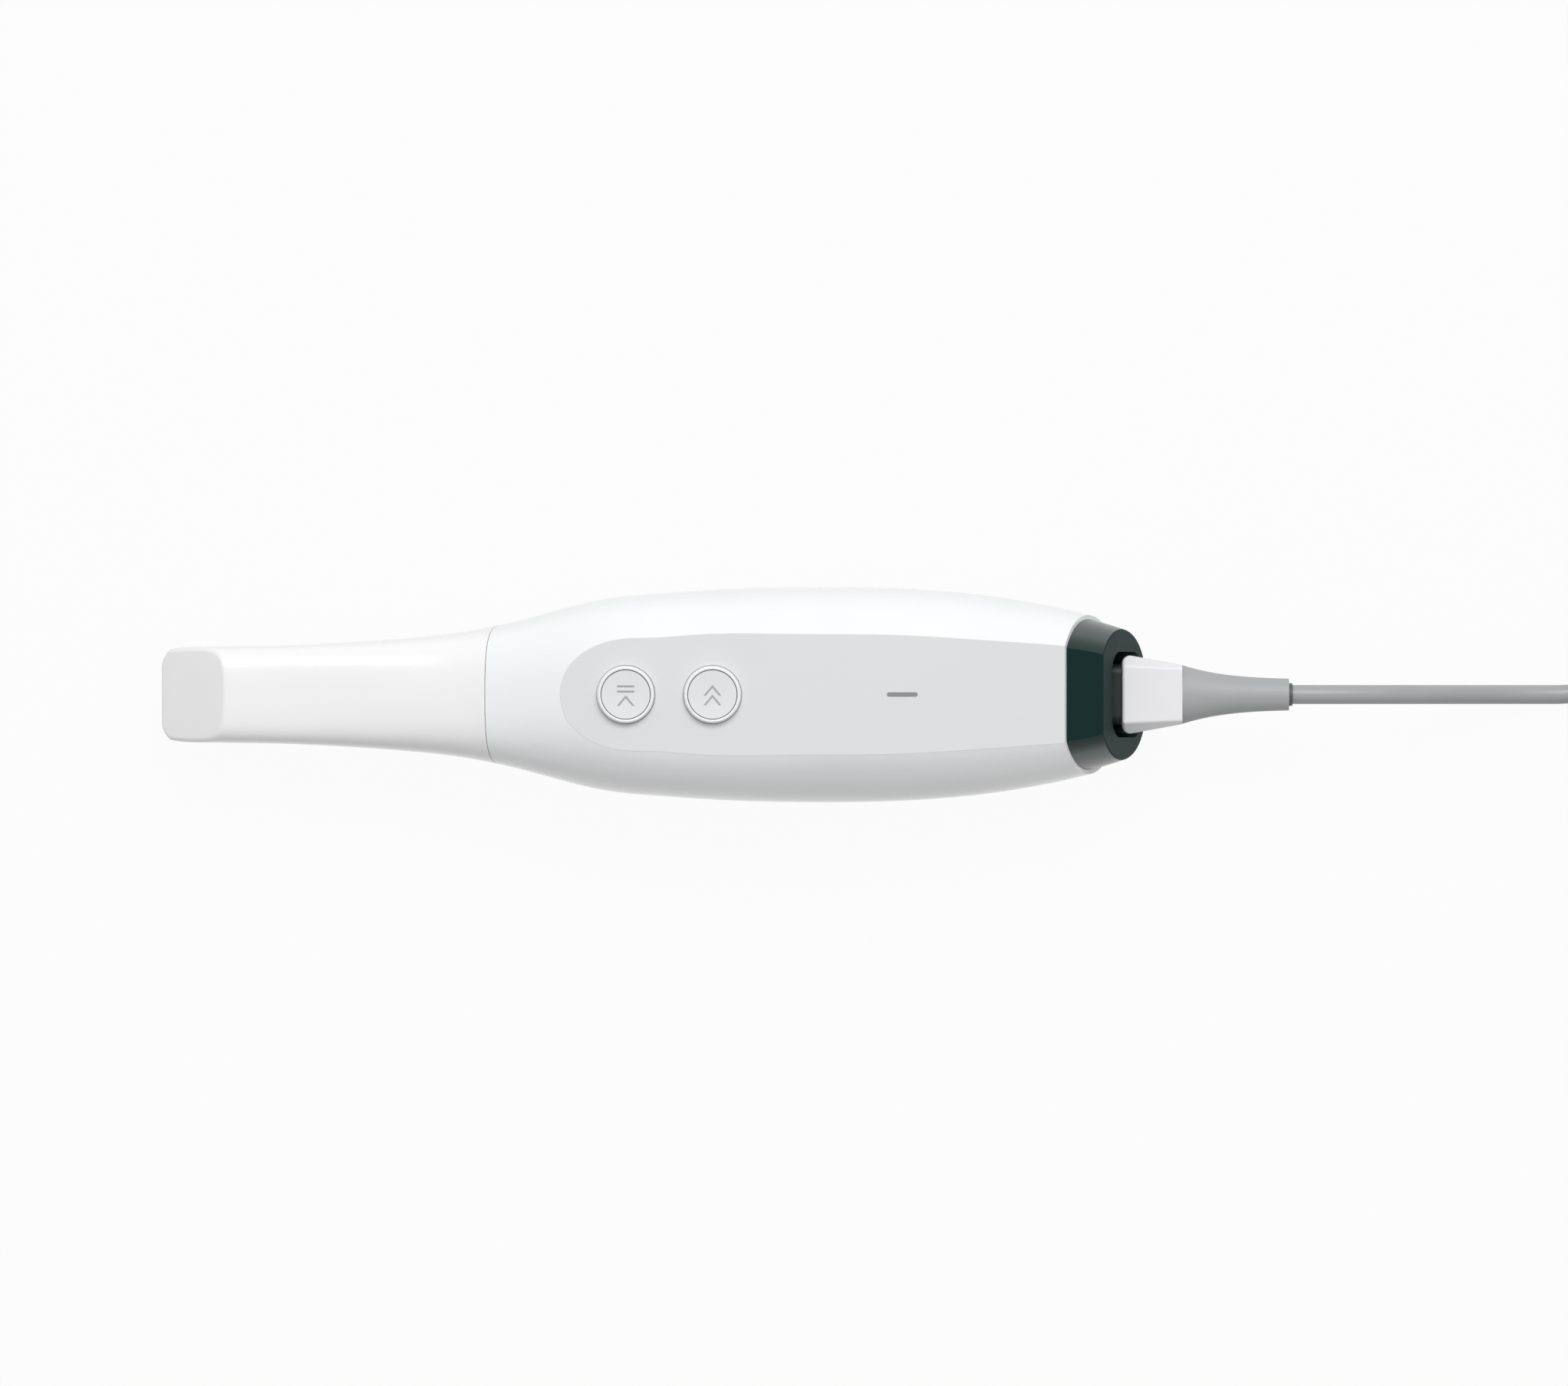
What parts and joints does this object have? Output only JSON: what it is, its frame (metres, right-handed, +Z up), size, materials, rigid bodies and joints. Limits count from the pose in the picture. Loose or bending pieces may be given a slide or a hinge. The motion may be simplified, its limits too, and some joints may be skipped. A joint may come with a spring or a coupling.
{
  "type": "intraoral scanner",
  "caption": "Wired intraoral scanner handpiece with a pull-off bevelled mirror tip, push buttons on a flat deck, and a plug-in cable wound into a tied coil.",
  "frame": {"origin": "under the middle of the handpiece, on the surface that its belly rests on", "axes": "+X from the mirror tip to the cable, +Z up through the buttons, +Y to the left of a user looking along +X"},
  "size_m": [0.4527, 0.0649, 0.0433],
  "materials": {
    "shell_white": "smooth satin-gloss moulding",
    "tip_white": "smooth satin-gloss moulding",
    "button_white": "fine matt moulding",
    "cap_green": "dark green satin-gloss moulding",
    "nose_grey": "fine matt moulding",
    "seal_black": "moulded rubber",
    "optic_glass": "polished glass",
    "mirror_face": "front-coated mirror",
    "frame_metal": "machined and anodised",
    "barrel_black": "black anodised",
    "board_green": "solder-masked laminate",
    "chip_black": "moulded package",
    "screw_steel": "plain steel",
    "contact_steel": "drawn and plated shell",
    "light_guide": "clear diffusing plastic",
    "plug_white": "satin moulding",
    "plug_dark": "dark moulding",
    "relief_grey": "moulded elastomer",
    "cable_grey": "extruded jacket",
    "tie_black": "hook-and-loop strip"
  },
  "bodies": {
    "handpiece": {"upper_shell": "shell_white", "lower_shell": "shell_white", "nose_tube": "nose_grey", "nose_window": "optic_glass", "nose_seal": "seal_black", "front_bezel": "shell_white", "rear_bezel": "shell_white", "front_switch_case": "chip_black", "rear_switch_case": "chip_black", "button_board": "board_green", "board_screws": "screw_steel", "status_lamp": "light_guide", "status_light": "light_guide", "optical_frame": "frame_metal", "frame_screws": "screw_steel", "projector_barrel": "barrel_black", "projector_lens": "optic_glass", "left_camera_barrel": "barrel_black", "right_camera_barrel": "barrel_black", "left_camera_lens": "optic_glass", "right_camera_lens": "optic_glass", "sensor_board": "board_green", "light_engine": "frame_metal", "heat_sink": "frame_metal", "main_board": "board_green", "image_processor": "chip_black", "rear_cap": "cap_green", "socket_shell": "contact_steel", "socket_tongue": "chip_black"},
    "mirror_tip": {"tip_sleeve": "tip_white", "tip_mirror": "mirror_face"},
    "front_button": {"front_button_cap": "button_white", "front_switch_plunger": "chip_black"},
    "rear_button": {"rear_button_cap": "button_white", "rear_switch_plunger": "chip_black"},
    "cable_set": {"plug_shell": "contact_steel", "plug_core": "plug_dark", "plug_grip": "plug_white", "strain_relief": "relief_grey", "cable": "cable_grey", "cable_coil": "cable_grey", "coil_tie": "tie_black", "cable_tail": "cable_grey", "far_strain_relief": "relief_grey", "far_plug_grip": "plug_white", "far_plug_shell": "contact_steel"}
  },
  "joints": [
    {"name": "tip_pull", "type": "slide", "parent": "handpiece", "child": "mirror_tip", "axis": [-1, 0, 0], "range_m": [0, 0.075]},
    {"name": "front_button_press", "type": "slide", "parent": "handpiece", "child": "front_button", "axis": [0, 0, -1], "range_m": [0, 0.0006], "stiffness_N_per_m": 2500},
    {"name": "rear_button_press", "type": "slide", "parent": "handpiece", "child": "rear_button", "axis": [0, 0, -1], "range_m": [0, 0.0006], "stiffness_N_per_m": 2500},
    {"name": "cable_pull", "type": "slide", "parent": "handpiece", "child": "cable_set", "axis": [1, 0, 0], "range_m": [0, 0.012]}
  ]
}
